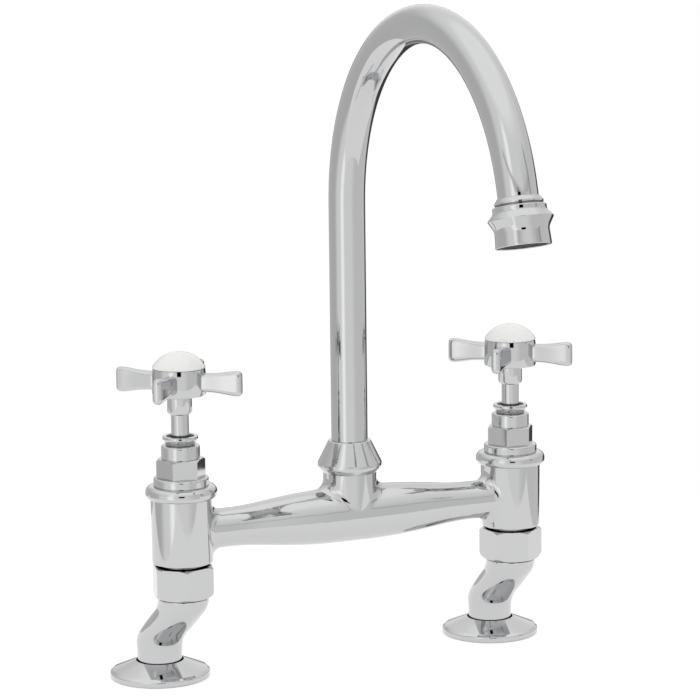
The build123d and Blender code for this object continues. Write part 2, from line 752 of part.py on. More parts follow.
cup = make_gland_cup()
lower_disc = ported_disc(lower_disc_bottom, False)
upper_disc = Pos(0, 0, disc_thickness) * Rot(0, 0, 90) * ported_disc(lower_disc_bottom, True)
seat_washer = ring(skirt_radius - 0.2, skirt_bore - 2.7, chamber_floor, chamber_floor + seat_thickness)
slip_ring = ring(disc_radius - 0.3, stem_radius + running, slip_top - slip_washer, slip_top)
stem_seal = ring(
    stem_radius + running / 2, stem_radius - seal_depth, seal_low, seal_low + seal_width, seal_depth * 0.4
)
body_seal = ring(body_seal_radius, bonnet_thread + snug, barrel_top - body_seal_height, barrel_top)
spindle = make_spindle()
handle = make_handle()
handle_screw = make_handle_screw()
index = make_index()
for name, sign in sides.items():
    place = at_side(sign)
    pieces[name + "_bonnet"] = place * make_bonnet(bonnet_turn[name])
    pieces[name + "_gland_cup"] = place * cup
    pieces[name + "_body_seal"] = place * body_seal
    pieces[name + "_seat_washer"] = place * seat_washer
    pieces[name + "_lower_disc"] = place * lower_disc
    pieces[name + "_upper_disc"] = place * upper_disc
    pieces[name + "_slip_ring"] = place * slip_ring
    pieces[name + "_stem_seal"] = place * stem_seal
    pieces[name + "_spindle"] = place * spindle
    pieces[name + "_handle"] = place * handle
    pieces[name + "_handle_screw"] = place * handle_screw
    pieces[name + "_index"] = place * index

for name, solid in pieces.items():
    export_step(solid, "parts/" + name + ".step")
print(len(pieces), "nodes written")
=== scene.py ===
# %% [markdown]
# # A bridge kitchen faucet, dressed in Blender
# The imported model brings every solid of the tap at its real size: the body with its two barrels,
# the arched spout, the cross handles and the cranked legs. This lesson gives them their finishes,
# makes a few pieces that are easier here than as solids, and sets up a pale studio.
# One object in the scene is one piece of the real tap, so a finish can be changed piece by piece.

# %% Load the model
import bpy
import json
from math import cos, degrees, pi, radians, sin
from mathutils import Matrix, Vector


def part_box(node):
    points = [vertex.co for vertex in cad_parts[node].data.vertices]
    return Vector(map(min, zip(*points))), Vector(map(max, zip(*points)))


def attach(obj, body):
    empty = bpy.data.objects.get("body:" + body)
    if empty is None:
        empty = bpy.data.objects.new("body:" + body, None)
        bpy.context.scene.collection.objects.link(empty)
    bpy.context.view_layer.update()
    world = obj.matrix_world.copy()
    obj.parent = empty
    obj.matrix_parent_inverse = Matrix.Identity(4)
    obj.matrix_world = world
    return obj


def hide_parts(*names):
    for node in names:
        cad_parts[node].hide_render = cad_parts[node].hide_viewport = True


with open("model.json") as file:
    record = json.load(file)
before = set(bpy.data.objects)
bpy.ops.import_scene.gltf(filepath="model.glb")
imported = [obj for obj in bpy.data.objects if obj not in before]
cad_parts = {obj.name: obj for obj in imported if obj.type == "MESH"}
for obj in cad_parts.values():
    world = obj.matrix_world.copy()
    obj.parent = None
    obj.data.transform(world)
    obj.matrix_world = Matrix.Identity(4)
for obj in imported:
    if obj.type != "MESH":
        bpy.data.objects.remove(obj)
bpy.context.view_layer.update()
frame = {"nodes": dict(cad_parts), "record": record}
slots = {part["node"]: part["material_slot"] for part in frame["record"]["subparts"]}


def rounded(values):
    """The values to a tenth of a millimetre, for printing."""
    return [round(value, 4) for value in values]


# %% [markdown]
# ## Places to measure from
# A piece that is added here must sit on what carries it. Its place is measured from the solid
# that it touches, so it stays right if the solid is made longer or is moved. The box of a turned
# piece has its centre on the turning axis, also when the piece is tilted.

# %% Measure the axes
def middle_of(node):
    """Centre of a solid's box at rest."""
    low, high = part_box(node)
    return (Vector(low) + Vector(high)) / 2


SIDES = ("left", "right")
body_centre = middle_of("bridge_body")
stem_axis = {side: middle_of(side + "_spindle") for side in SIDES}
shank_axis = {side: middle_of(side + "_deck_flange") for side in SIDES}
print("bar centre", rounded(body_centre))
print("stem axes", [rounded(stem_axis[side]) for side in SIDES])

# %% [markdown]
# ## The camera
# A product picture of a tall tap is taken from some way off with a long lens, so the two columns
# stay almost parallel. The camera is placed on a sphere round the tap by its azimuth, its pitch
# and its distance, which is easier to adjust than three coordinates.

# %% Place the camera
AZIMUTH = radians(24.32)
PITCH = radians(9.52)
DISTANCE = 1.446
ROLL = radians(-0.65)
AIM_SHIFT = 0.00079
AIM_HEIGHT = 0.15782
LENS = 150.2
SENSOR_WIDTH = 36
aim = Vector((body_centre.x + AIM_SHIFT, body_centre.y, AIM_HEIGHT))
look = Vector((sin(AZIMUTH) * cos(PITCH), cos(AZIMUTH) * cos(PITCH), -sin(PITCH)))
camera_data = bpy.data.cameras.new("camera")
camera = bpy.data.objects.new("camera", camera_data)
bpy.context.scene.collection.objects.link(camera)
camera.location = aim - look * DISTANCE
camera.rotation_euler = look.to_track_quat("-Z", "Y").to_euler()
camera.rotation_euler.rotate_axis("Z", ROLL)
camera_data.sensor_width = SENSOR_WIDTH
camera_data.lens = LENS
bpy.context.scene.camera = camera
bpy.context.scene.view_settings.view_transform = "Standard"
print("camera at", rounded(camera.location))

# %% [markdown]
# ## Shared effects
# A shader node group is to materials what a function is to code: it is built once, has named
# inputs and outputs, and each material gives it its own values. Two effects serve the whole tap:
# the grain of a surface, which reads Object coordinates, so it keeps its size in millimetres and
# turns with its piece, and painted shade that darkens the colour in narrow gaps.

# %% Helpers for node trees
def add_node(tree, kind, **values):
    """New node whose named input sockets get the given values."""
    node = tree.nodes.new(kind)
    for socket, value in values.items():
        node.inputs[socket.replace("_", " ")].default_value = value
    return node


def new_group(name, inputs, outputs):
    """Empty shader group; inputs is a table of floats, outputs a list of names."""
    tree = bpy.data.node_groups.new(name, "ShaderNodeTree")
    for socket, value in inputs.items():
        made = tree.interface.new_socket(name=socket, in_out="INPUT", socket_type="NodeSocketFloat")
        made.default_value = value
    for socket in outputs:
        tree.interface.new_socket(name=socket, in_out="OUTPUT", socket_type="NodeSocketFloat")
    return tree, tree.nodes.new("NodeGroupInput"), tree.nodes.new("NodeGroupOutput")


def place_group(tree, group, **values):
    """Put a shared group into a material with its own values."""
    node = tree.nodes.new("ShaderNodeGroup")
    node.node_tree = group
    for socket, value in values.items():
        node.inputs[socket.replace("_", " ")].default_value = value
    return node


print("helpers ready")

# %% [markdown]
# ### Surface grain
# No real surface is perfectly even. Plated brass keeps a trace of the polishing wheel, glaze
# pools a little, rubber is dull in patches. Two noises, one coarse and one fine, give a value
# for the roughness and a height for the bump.

# %% Build the grain group
FINE_SCALE = 9.0      # times as fine as the coarse noise
FINE_SHARE = 0.3      # how much of it is added
GRAIN_MIDDLE = 0.65   # mean of the two together
grain, grain_in, grain_out = new_group(
    "surface grain", {"Scale": 400.0, "Roughness": 0.1, "Spread": 0.03}, ["Roughness", "Height"]
)
position = grain.nodes.new("ShaderNodeTexCoord").outputs["Object"]
coarse = add_node(grain, "ShaderNodeTexNoise", Detail=2.0)
fine_scale = add_node(grain, "ShaderNodeMath")
fine_scale.operation = "MULTIPLY"
fine_scale.inputs[1].default_value = FINE_SCALE
fine = add_node(grain, "ShaderNodeTexNoise", Detail=3.0)
blend = add_node(grain, "ShaderNodeMath")
blend.operation = "MULTIPLY_ADD"
blend.inputs[1].default_value = FINE_SHARE
centred = add_node(grain, "ShaderNodeMath")
centred.operation = "SUBTRACT"
centred.inputs[1].default_value = GRAIN_MIDDLE
spread = add_node(grain, "ShaderNodeMath")
spread.operation = "MULTIPLY_ADD"
links = grain.links
links.new(position, coarse.inputs["Vector"])
links.new(position, fine.inputs["Vector"])
links.new(grain_in.outputs["Scale"], coarse.inputs["Scale"])
links.new(grain_in.outputs["Scale"], fine_scale.inputs[0])
links.new(fine_scale.outputs[0], fine.inputs["Scale"])
links.new(fine.outputs["Fac"], blend.inputs[0])
links.new(coarse.outputs["Fac"], blend.inputs[2])
links.new(blend.outputs[0], centred.inputs[0])
links.new(centred.outputs[0], spread.inputs[0])
links.new(grain_in.outputs["Spread"], spread.inputs[1])
links.new(grain_in.outputs["Roughness"], spread.inputs[2])
links.new(spread.outputs[0], grain_out.inputs["Roughness"])
links.new(blend.outputs[0], grain_out.inputs["Height"])
print("group", grain.name, len(grain.nodes), "nodes")

# %% [markdown]
# ### Painted shade in gaps
# Where two pieces meet there is a narrow gap that light hardly reaches: above a union nut, at the
# foot of a leg, inside the gland cup. Its shade is painted into the base colour. The Ambient
# Occlusion node measures how closed in a point is within a few millimetres.

# %% Build the painted gap shade group
FULLY_DARK = 0.12     # openness at which a gap is darkest
GAP_SAMPLES = 8
# The mask says where painted shade darkens the base colour. The more closed in a point is, the
# darker it gets.
gap_shade, gap_in, gap_out = new_group("gap_shade", {"Reach": 0.003, "Start": 0.55}, ["Mask"])
closeness = gap_shade.nodes.new("ShaderNodeAmbientOcclusion")
closeness.samples = GAP_SAMPLES
falloff = add_node(gap_shade, "ShaderNodeMapRange", From_Min=FULLY_DARK, To_Min=1.0, To_Max=0.0)
falloff.interpolation_type = "SMOOTHSTEP"
gap_shade.links.new(gap_in.outputs["Reach"], closeness.inputs["Distance"])
gap_shade.links.new(closeness.outputs["AO"], falloff.inputs["Value"])
gap_shade.links.new(gap_in.outputs["Start"], falloff.inputs["From Max"])
gap_shade.links.new(falloff.outputs["Result"], gap_out.inputs["Mask"])
print("group", gap_shade.name, len(gap_shade.nodes), "nodes")

# %% [markdown]
# ## Finishes
# All finishes are the same recipe with different values: a base colour with painted shade in the
# gaps, a roughness with grain in it, and a bump of a few micrometres. The number that makes the
# material what it is, such as Metallic for plated brass or Coat Weight for glaze, is uniform, so
# it is set directly on the shader.

# %% Write the recipe
RELIEF_DEPTH = 0.0001


def finish(name, colour, gap_shade_colour, grain_values, gap_shade_values, bump, **shader_values):
    """Material with grain, and painted shade in its gaps."""
    material = bpy.data.materials.new(name)
    material.use_nodes = True
    tree = material.node_tree
    shader = tree.nodes["Principled BSDF"]
    for socket, value in shader_values.items():
        shader.inputs[socket.replace("_", " ")].default_value = value
    surface = place_group(tree, grain, **grain_values)
    painted_gap_shade = place_group(tree, gap_shade, **gap_shade_values)
    # Painted shade: the base colour turns towards the gap colour where a point is closed in.
    colour_and_shade = tree.nodes.new("ShaderNodeMix")
    colour_and_shade.data_type = "RGBA"
    colour_and_shade.inputs[6].default_value = (*colour, 1)
    colour_and_shade.inputs[7].default_value = (*gap_shade_colour, 1)
    relief = add_node(tree, "ShaderNodeBump", Strength=bump, Distance=RELIEF_DEPTH)
    tree.links.new(painted_gap_shade.outputs["Mask"], colour_and_shade.inputs["Factor"])
    tree.links.new(colour_and_shade.outputs[2], shader.inputs["Base Color"])
    tree.links.new(surface.outputs["Roughness"], shader.inputs["Roughness"])
    tree.links.new(surface.outputs["Height"], relief.inputs["Height"])
    tree.links.new(relief.outputs["Normal"], shader.inputs["Normal"])
    return material


print("recipe ready")

# %% [markdown]
# ### Chromium plate
# Nearly everything that shows is brass under chromium plate, buffed to a mirror. Chromium is a
# slightly cool grey and not as bright as silver. The grain is faint, or the mirror would look
# like orange peel.

# %% Make the metals
finishes = {}
# The second colour of each finish is the painted shade that darkens its gaps.
finishes["chrome_plate"] = finish(
    "chrome_plate", (0.560, 0.562, 0.568), (0.02, 0.02, 0.022),
    {"Scale": 160.0, "Roughness": 0.05, "Spread": 0.03}, {"Reach": 0.004, "Start": 0.58}, 0.015,
    Metallic=1.0,
)
finishes["bare_brass"] = finish(
    "bare_brass", (0.72, 0.52, 0.23), (0.12, 0.07, 0.03),
    {"Scale": 500.0, "Roughness": 0.26, "Spread": 0.12}, {"Reach": 0.003, "Start": 0.5}, 0.20,
    Metallic=1.0,
)
finishes["screw_steel"] = finish(
    "screw_steel", (0.56, 0.56, 0.55), (0.05, 0.05, 0.05),
    {"Scale": 700.0, "Roughness": 0.30, "Spread": 0.15}, {"Reach": 0.002, "Start": 0.5}, 0.25,
    Metallic=1.0,
)
print("metals", sorted(finishes))

# %% [markdown]
# ### Porcelain, rubber and plastic
# The domes on the handles are glazed porcelain: an even white body under a clear coat. The
# valve discs are lapped alumina without a glaze. Seals are nitrile rubber, washers a slippery
# white plastic, and the aerator's cage a dark one.

# %% Make the other finishes
# The second colour of each finish is the painted shade that darkens its gaps.
finishes["white_ceramic"] = finish(
    "white_ceramic", (0.82, 0.82, 0.805), (0.30, 0.30, 0.29),
    {"Scale": 90.0, "Roughness": 0.22, "Spread": 0.06}, {"Reach": 0.0012, "Start": 0.4}, 0.03,
    Coat_Weight=0.6, Coat_Roughness=0.05,
)
finishes["valve_ceramic"] = finish(
    "valve_ceramic", (0.80, 0.78, 0.73), (0.45, 0.42, 0.38),
    {"Scale": 900.0, "Roughness": 0.35, "Spread": 0.15}, {"Reach": 0.002, "Start": 0.5}, 0.10,
)
finishes["seal_rubber"] = finish(
    "seal_rubber", (0.022, 0.022, 0.023), (0.006, 0.006, 0.006),
    {"Scale": 1200.0, "Roughness": 0.62, "Spread": 0.25}, {"Reach": 0.002, "Start": 0.5}, 0.35,
)
finishes["washer_plastic"] = finish(
    "washer_plastic", (0.76, 0.76, 0.73), (0.35, 0.35, 0.33),
    {"Scale": 800.0, "Roughness": 0.45, "Spread": 0.15}, {"Reach": 0.002, "Start": 0.5}, 0.15,
)
finishes["aerator_plastic"] = finish(
    "aerator_plastic", (0.035, 0.035, 0.038), (0.008, 0.008, 0.008),
    {"Scale": 1000.0, "Roughness": 0.42, "Spread": 0.18}, {"Reach": 0.002, "Start": 0.5}, 0.20,
)
print("finishes", sorted(finishes))

# %% [markdown]
# ## Dressing the solids
# The record of the model names a finish for every solid, so no list has to be kept here.

# %% Give each solid its finish
for name, node in frame["nodes"].items():
    node.data.materials.clear()
    node.data.materials.append(finishes[slots[name]])
print("dressed", len(frame["nodes"]), "solids")

# %% [markdown]
# ## Pieces made here
# Five things are easier as meshes than as solids: the cranked legs, the cross handles, the rubber
# ring in each gland cup, the thread on each shank, and the gauze in the outlet. Each starts from a
# primitive, is shaped in edit mode, and ends with its origin at the centre of the scene, where the
# solids have theirs. What is the same on both sides is modelled once, on the scene's own Z axis,
# and copied.

# %% Helpers for modelling
SMOOTH_ANGLE = radians(40)


def begin():
    """Leave nothing selected, because an operator acts on all that is."""
    if bpy.context.object and bpy.context.object.mode != "OBJECT":
        bpy.ops.object.mode_set(mode="OBJECT")
    bpy.ops.object.select_all(action="DESELECT")


def copy_of(piece):
    """Copy with a mesh of its own."""
    twin = piece.copy()
    twin.data = piece.data.copy()
    bpy.context.scene.collection.objects.link(twin)
    return twin


def complete(piece, name, slot, body):
    """Fix the piece in its place, name it, give it its finish and tie it to the body it rides on."""
    begin()
    piece.select_set(True)
    bpy.context.view_layer.objects.active = piece
    bpy.ops.object.transform_apply(location=True, rotation=True, scale=True)
    piece.name = name
    piece.data.name = name
    piece.data.materials.clear()
    piece.data.materials.append(finishes[slot])
    bpy.ops.object.shade_smooth_by_angle(angle=SMOOTH_ANGLE)
    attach(piece, body)
    print(name, len(piece.data.polygons), "faces")


print("helpers ready")

# %% [markdown]
# ### Shells from level circles
# A leg and a hub are both hollow and round at every height. Such a shell can be made from one
# circle: it is extruded from section to section, moved and scaled at each, up the outside, over
# the top and down the inside. The last section lies on the first circle, so joining the points
# that meet closes the shell.

# %% Helper for stacked circles
ROUND_SIDES = 72
WELD_DISTANCE = 0.00002


def stack_circles(sections):
    """Closed shell of level circles, given as centres and radii; it starts from the last one."""
    place, radius = sections[-1]
    begin()
    bpy.ops.mesh.primitive_circle_add(vertices=ROUND_SIDES, radius=radius, location=place)
    bpy.ops.object.transform_apply(location=True, rotation=True, scale=True)
    bpy.ops.object.mode_set(mode="EDIT")
    bpy.ops.mesh.select_all(action="SELECT")
    for spot, wanted in sections:
        bpy.ops.mesh.extrude_region_move(TRANSFORM_OT_translate={"value": spot - place})
        bpy.ops.transform.resize(value=(wanted / radius, wanted / radius, 1.0), center_override=spot)
        place, radius = spot, wanted
    bpy.ops.mesh.select_all(action="SELECT")
    bpy.ops.mesh.remove_doubles(threshold=WELD_DISTANCE)
    bpy.ops.mesh.normals_make_consistent(inside=False)
    bpy.ops.object.mode_set(mode="OBJECT")
    return bpy.context.object


print("circles have", ROUND_SIDES, "sides")

# %% [markdown]
# ### The cranked legs
# A cranked leg carries its union to one side of its foot, so that turning the leg changes the
# distance between the inlets. The casting keeps almost the same width through the bend, because
# its sections stay level while they slide sideways, like a stack of coins that is pushed over. A
# tube that is swept along a bent line swells there instead. So the circles of a leg slide from
# the axis of the foot to the axis of the union in short steps, and widen a little on the way. The
# two legs lean in different directions, so each is made for itself.

# %% Profile of a leg
BEND_LOW, BEND_HIGH = 0.0157, 0.0422
BEND_EASE = 0.30      # share of the bend that eases in, and as much that eases out
BEND_STEPS = 26
WIDEN_LOW, WIDEN_HIGH = 0.0106, 0.0289
POST_RADIUS, HEAD_RADIUS = 0.01105, 0.01255
RING_LOW, RING_HIGH = 0.0412, 0.0426
RING_RADIUS = 0.01265
SHANK_RADIUS = 0.01048
NECK_RADIUS = 0.0097
BORE_RADIUS = 0.0060
DECK = 0.0


def slide(height):
    """Share of the sideways step at a height: eased in, straight, eased out."""
    part = min(max((height - BEND_LOW) / (BEND_HIGH - BEND_LOW), 0.0), 1.0)
    if part < BEND_EASE:
        return part * part / (2 * BEND_EASE * (1 - BEND_EASE))
    if part < 1 - BEND_EASE:
        return (part - BEND_EASE / 2) / (1 - BEND_EASE)
    return 1 - (1 - part) ** 2 / (2 * BEND_EASE * (1 - BEND_EASE))


def leg_radius(height):
    """Radius of the casting at a height, from the post to the head."""
    part = min(max((height - WIDEN_LOW) / (WIDEN_HIGH - WIDEN_LOW), 0.0), 1.0)
    return POST_RADIUS + (HEAD_RADIUS - POST_RADIUS) * part * part * (3 - 2 * part)


print("slide half way up the bend", round(slide((BEND_LOW + BEND_HIGH) / 2), 3))

# %% Sections of a leg
def leg_sections(side):
    """Centres and radii of the circles of one leg, up the outside and down the bore."""
    foot, head = shank_axis[side], stem_axis[side]
    bottom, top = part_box(side + "_leg")[0][2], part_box(side + "_leg")[1][2]
    bend = [WIDEN_LOW + (RING_LOW - WIDEN_LOW) * step / BEND_STEPS for step in range(BEND_STEPS + 1)]
    profile = [(DECK, SHANK_RADIUS), (DECK, POST_RADIUS)]
    profile += [(height, leg_radius(height)) for height in bend]
    profile += [(RING_LOW, RING_RADIUS), (RING_HIGH, RING_RADIUS), (RING_HIGH, NECK_RADIUS)]
    profile += [(top, NECK_RADIUS), (top, BORE_RADIUS), (RING_HIGH, BORE_RADIUS)]
    profile += [(height, BORE_RADIUS) for height in reversed(bend)]
    profile += [(bottom, BORE_RADIUS), (bottom, SHANK_RADIUS)]
    sections = []
    for height, radius in profile:
        share = slide(height)
        x = foot.x + (head.x - foot.x) * share
        y = foot.y + (head.y - foot.y) * share
        sections.append((Vector((x, y, height)), radius))
    return sections


print("a leg has", len(leg_sections("left")), "sections")

# %% Extrude the legs
EDGE_ROUND = 0.00018
EDGE_SEGMENTS = 2
EDGE_ANGLE = radians(35)
for side in SIDES:
    leg = stack_circles(leg_sections(side))
    edges = leg.modifiers.new("edges", "BEVEL")
    edges.width = EDGE_ROUND
    edges.segments = EDGE_SEGMENTS
    edges.limit_method = "ANGLE"
    edges.angle_limit = EDGE_ANGLE
    bpy.ops.object.modifier_apply(modifier=edges.name)
    complete(leg, side + "_cast_leg", "chrome_plate", side + "_foot")
    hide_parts(side + "_leg")

# %% [markdown]
# ### The cross handles
# A cross handle is a turned hub with four cast paddles. The hub is a stack of circles, like a leg:
# up the outside, back down the recess for the dome, and down the bore for the stem and its screw.
# Its wall leans inwards a little near the top, where a real one catches a dark reflection. Both
# handles stand at the same height, so the left one's solid gives the heights for both.

# %% Profile of a hub
HUB_RADIUS = 0.01305
HUB_HEIGHT = 0.0132
HUB_BORE = 0.0047
HUB_NECK_RADIUS = 0.0060
DOME_RECESS = 0.01165
RECESS_DEPTH = 0.0030
hub_base, hub_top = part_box("left_handle")[0][2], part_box("left_handle")[1][2]
hub_under = hub_top - HUB_HEIGHT
HUB_PROFILE = [
    # height, radius
    (hub_base, 0.0052),
    (hub_base + 0.0006, 0.0057),
    (hub_base + 0.0015, HUB_NECK_RADIUS),
    (hub_under, HUB_NECK_RADIUS),
    (hub_under, HUB_RADIUS - 0.0009),
    (hub_under + 0.0003, HUB_RADIUS - 0.0003),
    (hub_under + 0.0010, HUB_RADIUS),
    (hub_top - 0.0034, HUB_RADIUS),
    (hub_top - 0.0018, HUB_RADIUS - 0.0001),
    (hub_top, HUB_RADIUS - 0.0004),
    (hub_top, DOME_RECESS),
    (hub_top - RECESS_DEPTH, DOME_RECESS),
    (hub_top - RECESS_DEPTH, HUB_BORE),
    (hub_base, HUB_BORE),
]
print("hub from", round(hub_under, 4), "to", round(hub_top, 4))

# %% [markdown]
# A paddle is thin, tall and soft at its end, which is what a subdivision surface is good at: a
# coarse cage of three stacked faces is extruded outwards in a few steps, each with its own width
# and height, and then subdivided. The subdivision draws the form in a little, so the cage is made
# slightly taller than the paddle.

# %% Cage of a paddle
PADDLE_CAGE = [
    # distance from the stem, width, height
    (0.0105, 0.0076, 0.0092),
    (0.0135, 0.0074, 0.0090),
    (0.0180, 0.0064, 0.0092),
    (0.0230, 0.0054, 0.0106),
    (0.0275, 0.0049, 0.0121),
    (0.0303, 0.0047, 0.0124),
    (0.0322, 0.0038, 0.0112),
]
CAGE_ALLOWANCE = 1.035
SOFTENING_LEVELS = 3


def model_paddle(height):
    """Paddle that points along X from the centre, at the given height."""
    reach, width, tall = PADDLE_CAGE[0]
    begin()
    bpy.ops.mesh.primitive_grid_add(
        x_subdivisions=1, y_subdivisions=3, size=2, rotation=(pi / 2, 0, pi / 2)
    )
    bpy.ops.object.transform_apply(location=True, rotation=True, scale=True)
    bpy.ops.object.mode_set(mode="EDIT")
    bpy.ops.mesh.select_all(action="SELECT")
    first_size = (1.0, width / 2, tall * CAGE_ALLOWANCE / 2)
    bpy.ops.transform.resize(value=first_size, center_override=(0, 0, 0))
    bpy.ops.transform.translate(value=(reach, 0, height))
    for distance, wide, high in PADDLE_CAGE[1:]:
        bpy.ops.mesh.extrude_region_move(TRANSFORM_OT_translate={"value": (distance - reach, 0, 0)})
        growth = (1.0, wide / width, high / tall)
        bpy.ops.transform.resize(value=growth, center_override=(distance, 0, height))
        reach, width, tall = distance, wide, high
    bpy.ops.mesh.select_all(action="SELECT")
    bpy.ops.mesh.normals_make_consistent(inside=False)
    bpy.ops.object.mode_set(mode="OBJECT")
    paddle = bpy.context.object
    softening = paddle.modifiers.new("softening", "SUBSURF")
    softening.levels = SOFTENING_LEVELS
    bpy.ops.object.modifier_apply(modifier=softening.name)
    return paddle


print("paddle reaches", PADDLE_CAGE[-1][0], "from the stem")

# %% [markdown]
# One paddle is copied to the four places round the hub and joined to it. The finished handle is
# then copied, so that each column has one.

# %% Assemble the handles
PADDLE_COUNT = 4
PADDLE_ANGLE = radians(-41)
hub = stack_circles([(Vector((0, 0, height)), radius) for height, radius in HUB_PROFILE])
first_paddle = model_paddle(hub_top - HUB_HEIGHT / 2)
paddles = [first_paddle] + [copy_of(first_paddle) for count in range(PADDLE_COUNT - 1)]
begin()
for number, paddle in enumerate(paddles):
    paddle.rotation_euler = (0, 0, PADDLE_ANGLE + number * 2 * pi / PADDLE_COUNT)
    paddle.select_set(True)
hub.select_set(True)
bpy.context.view_layer.objects.active = hub
bpy.ops.object.join()
for side, handle in zip(SIDES, (hub, copy_of(hub))):
    handle.location = (stem_axis[side].x, stem_axis[side].y, 0)
    complete(handle, side + "_cross_handle", "chrome_plate", side + "_valve")
    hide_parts(side + "_handle")

# %% [markdown]
# ### The rubber ring in the gland cup
# Where the stem leaves the headwork, a black ring wipes it clean. It is a round section turned
# about the stem: a twelve-sided circle is stood upright beside the axis, pressed flat, and spun.

# %% Spin the gland rings
CUP_RIM_DROP = 0.0008
RING_MIDDLE = 0.0054
RING_SECTION = 0.00105
RING_SIDES = 12
RING_FLATNESS = 0.55
RING_WELD = 0.00001
section = (RING_MIDDLE, 0, 0)
begin()
bpy.ops.mesh.primitive_circle_add(
    vertices=RING_SIDES, radius=RING_SECTION, location=section, rotation=(pi / 2, 0, 0)
)
bpy.ops.object.transform_apply(location=True, rotation=True, scale=True)
bpy.ops.object.mode_set(mode="EDIT")
bpy.ops.mesh.select_all(action="SELECT")
bpy.ops.transform.resize(value=(1.0, 1.0, RING_FLATNESS), center_override=section)
bpy.ops.mesh.spin(steps=ROUND_SIDES, angle=2 * pi, center=(0, 0, 0), axis=(0, 0, 1))
bpy.ops.mesh.select_all(action="SELECT")
bpy.ops.mesh.remove_doubles(threshold=RING_WELD)
bpy.ops.mesh.normals_make_consistent(inside=False)
bpy.ops.object.mode_set(mode="OBJECT")
ring = bpy.context.object
for side, gland_ring in zip(SIDES, (ring, copy_of(ring))):
    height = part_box(side + "_gland_cup")[1][2] - CUP_RIM_DROP
    gland_ring.location = (stem_axis[side].x, stem_axis[side].y, height)
    complete(gland_ring, side + "_gland_ring", "seal_rubber", "bridge")

# %% [markdown]
# ### The thread on the shanks
# Below the deck each leg ends in a half-inch pipe thread, fourteen turns to the inch. A triangle
# is stood upright and drawn out along the shank, and the Screw modifier winds it round the Z axis.
# The two open ends are filled afterwards.

# %% Wind the shank threads
THREAD_PITCH = 0.0254 / 14
THREAD_ROOT = 0.01035
THREAD_STAND = 0.00042
THREAD_STRETCH = 1.9
THREAD_TURNS = 23
THREAD_STEPS = 48
THREAD_WELD = 0.000001
THREAD_BOTTOM = -0.0465
centre = (0, 0, 0)
begin()
bpy.ops.mesh.primitive_circle_add(vertices=3, radius=THREAD_STAND, location=centre)
bpy.ops.object.mode_set(mode="EDIT")
bpy.ops.mesh.select_all(action="SELECT")
bpy.ops.transform.rotate(value=pi / 2, orient_axis="X", center_override=centre)
bpy.ops.transform.rotate(value=pi / 2, orient_axis="Y", center_override=centre)
bpy.ops.transform.resize(value=(1.0, 1.0, THREAD_STRETCH), center_override=centre)
bpy.ops.transform.translate(value=(THREAD_ROOT, 0, 0))
bpy.ops.object.mode_set(mode="OBJECT")
thread = bpy.context.object
winding = thread.modifiers.new("winding", "SCREW")
winding.axis = "Z"
winding.screw_offset = THREAD_PITCH
winding.iterations = THREAD_TURNS
winding.steps = THREAD_STEPS
winding.render_steps = THREAD_STEPS
bpy.ops.object.modifier_apply(modifier=winding.name)
print("thread wound", THREAD_TURNS, "times")

# %% Close the threads and set them on the shanks
bpy.ops.object.mode_set(mode="EDIT")
bpy.ops.mesh.select_all(action="SELECT")
bpy.ops.mesh.remove_doubles(threshold=THREAD_WELD)
bpy.ops.mesh.fill_holes(sides=4)
bpy.ops.mesh.select_all(action="SELECT")
bpy.ops.mesh.normals_make_consistent(inside=False)
bpy.ops.object.mode_set(mode="OBJECT")
for side, shank_thread in zip(SIDES, (thread, copy_of(thread))):
    shank_thread.location = (shank_axis[side].x, shank_axis[side].y, THREAD_BOTTOM)
    complete(shank_thread, side + "_shank_thread", "chrome_plate", side + "_foot")

# %% [markdown]
# ### The gauze in the outlet
# The aerator ends in a fine gauze that breaks the jet. A square net of faces is trimmed to a
# disc, and the Wireframe modifier turns every edge into a wire. The disc is then tilted as the
# spout's end is.

# %% Cut the net for the gauze
GAUZE_RADIUS = 0.0104
GAUZE_CELLS = 22
GAUZE_TRIM = 0.0005   # how far inside the radius the middle of a kept face lies
begin()
bpy.ops.mesh.primitive_grid_add(
    x_subdivisions=GAUZE_CELLS, y_subdivisions=GAUZE_CELLS, size=2 * GAUZE_RADIUS, location=(0, 0, 0)
)
gauze = bpy.context.object
bpy.ops.object.mode_set(mode="EDIT")
bpy.ops.mesh.select_mode(type="FACE")
bpy.ops.mesh.select_all(action="DESELECT")
bpy.ops.object.mode_set(mode="OBJECT")
for face in gauze.data.polygons:
    face.select = Vector(face.center).length > GAUZE_RADIUS - GAUZE_TRIM
bpy.ops.object.mode_set(mode="EDIT")
bpy.ops.mesh.delete(type="FACE")
bpy.ops.mesh.select_mode(type="VERT")
bpy.ops.object.mode_set(mode="OBJECT")
print("net of", len(gauze.data.polygons), "squares")

# %% Turn the net into wires and set it in the outlet
WIRE_THICKNESS = 0.00028
OUTLET_TILT = radians(14)
AERATOR_HALF = 0.003
GAUZE_GAP = 0.00025
wires = gauze.modifiers.new("wires", "WIREFRAME")
wires.thickness = WIRE_THICKNESS
wires.use_even_offset = True
bpy.ops.object.modifier_apply(modifier=wires.name)
down = Vector((0, -sin(OUTLET_TILT), -cos(OUTLET_TILT)))
gauze.rotation_euler = (-OUTLET_TILT, 0, 0)
gauze.location = middle_of("aerator") + down * (AERATOR_HALF + GAUZE_GAP)
complete(gauze, "outlet_gauze", "aerator_plastic", "spout")

# %% [markdown]
# ## The studio
# Chrome has no look of its own: it shows the room. The room here is a white tent with a few
# darker places, as a photographer would hang cards round a shiny object. Each place is a soft
# rectangle of directions, given by its azimuth and its range of elevation. The camera looks
# slightly down, so upright chrome mirrors what lies a little below the horizon. That is why the
# walls, the window and the screens reach far below it.

